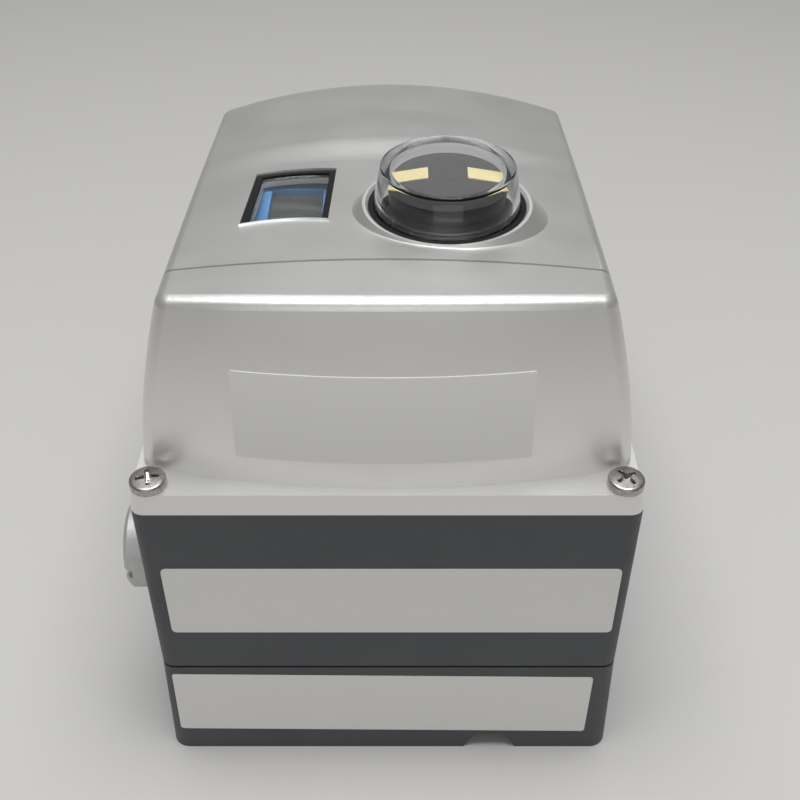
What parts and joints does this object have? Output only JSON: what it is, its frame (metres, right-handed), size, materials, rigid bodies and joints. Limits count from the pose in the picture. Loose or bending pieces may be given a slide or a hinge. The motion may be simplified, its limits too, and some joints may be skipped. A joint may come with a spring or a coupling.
{
  "type": "valve positioner",
  "caption": "Box-shaped valve positioner: dark base and extension housings, silver sloping cover with display window and a clear dial dome over a turning shaft.",
  "frame": {"origin": "centre of the bracket bolt pattern on the mounting plane, which is also the feedback shaft's axis", "axes": "+Z out through the cover and dial, -Y towards the labelled front, +X towards the plain side; conduit entries on -X, air ports on +Y"},
  "size_m": [0.1284, 0.181, 0.1502],
  "materials": {
    "base_paint": "fine textured dark grey paint on die-cast aluminium",
    "cover_paint": "fine grained silver metallic paint",
    "clear": "clear moulded plastic",
    "black_plastic": "satin black",
    "yellow": "pale signal yellow",
    "blue_plastic": "satin blue",
    "grey_plastic": "satin mid grey",
    "display": "dark display glass",
    "rubber": "black seal rubber",
    "steel": "stainless steel",
    "aluminium": "machined aluminium",
    "bronze": "sintered bronze",
    "board": "green circuit board",
    "plug_metal": "nickel plated"
  },
  "bodies": {
    "housing": {"base_housing": "base_paint", "base_gasket": "rubber", "extension_housing": "base_paint", "extension_screws": "steel", "cover_gasket": "rubber", "cover": "cover_paint", "cover_screws": "steel", "conduit_plug": "plug_metal", "conduit_plug_seal": "rubber", "base_conduit_plug": "plug_metal", "base_conduit_plug_seal": "rubber", "ground_screw": "steel", "exhaust_filter": "bronze", "indicator_dome": "clear", "dome_gasket": "rubber", "dome_clamp_ring": "aluminium", "clamp_screws": "steel", "window_frame": "black_plastic", "window_pane": "clear", "display_bracket": "aluminium", "display_module": "grey_plastic", "display_bezel": "blue_plastic", "display_glass": "display", "shaft_bush": "bronze", "position_sensor": "black_plastic", "extension_bush": "bronze", "switch_lower": "steel", "switch_upper": "steel", "switch_nuts": "steel", "switch_bracket": "aluminium", "extension_terminals": "grey_plastic", "spool_valve_body": "aluminium", "spool_end_covers": "aluminium", "prestage_unit": "aluminium", "board_pillars": "bronze", "controller_board": "board", "board_cover": "black_plastic", "board_screws": "steel"},
    "shaft": {"feedback_shaft": "steel", "shaft_gear": "grey_plastic", "shaft_seal": "rubber", "extension_shaft": "steel", "cam_lower": "aluminium", "cam_upper": "aluminium", "indicator_drum": "black_plastic", "indicator_bars": "yellow", "indicator_cap": "black_plastic"},
    "sensor_shaft": {"sensor_gear": "grey_plastic", "sensor_pin": "steel"},
    "spool_body": {"spool": "steel"},
    "button_up_key": {"button_up": "grey_plastic"},
    "button_down_key": {"button_down": "grey_plastic"},
    "button_enter_key": {"button_enter": "grey_plastic"},
    "button_cancel_key": {"button_cancel": "grey_plastic"}
  },
  "joints": [
    {"name": "shaft_turn", "type": "hinge", "parent": "housing", "child": "shaft", "pos_m": [0, 0, 0], "axis": [0, 0, 1], "continuous": true},
    {"name": "sensor_turn", "type": "hinge", "parent": "housing", "child": "sensor_shaft", "pos_m": [0, -0.03, 0.024], "axis": [0, 0, 1], "continuous": true},
    {"name": "spool_slide", "type": "slide", "parent": "housing", "child": "spool_body", "axis": [1, 0, 0], "range_m": [-0.0015, 0.0015]},
    {"name": "button_up_press", "type": "slide", "parent": "housing", "child": "button_up_key", "axis": [0, 0, 1], "range_m": [-0.0012, 0], "stiffness_N_per_m": 1200},
    {"name": "button_down_press", "type": "slide", "parent": "housing", "child": "button_down_key", "axis": [0, 0, 1], "range_m": [-0.0012, 0], "stiffness_N_per_m": 1200},
    {"name": "button_enter_press", "type": "slide", "parent": "housing", "child": "button_enter_key", "axis": [0, 0, 1], "range_m": [-0.0012, 0], "stiffness_N_per_m": 1200},
    {"name": "button_cancel_press", "type": "slide", "parent": "housing", "child": "button_cancel_key", "axis": [0, 0, 1], "range_m": [-0.0012, 0], "stiffness_N_per_m": 1200}
  ],
  "couplings": [
    {"joint": "sensor_turn", "follows": "shaft_turn", "ratio": -2}
  ]
}
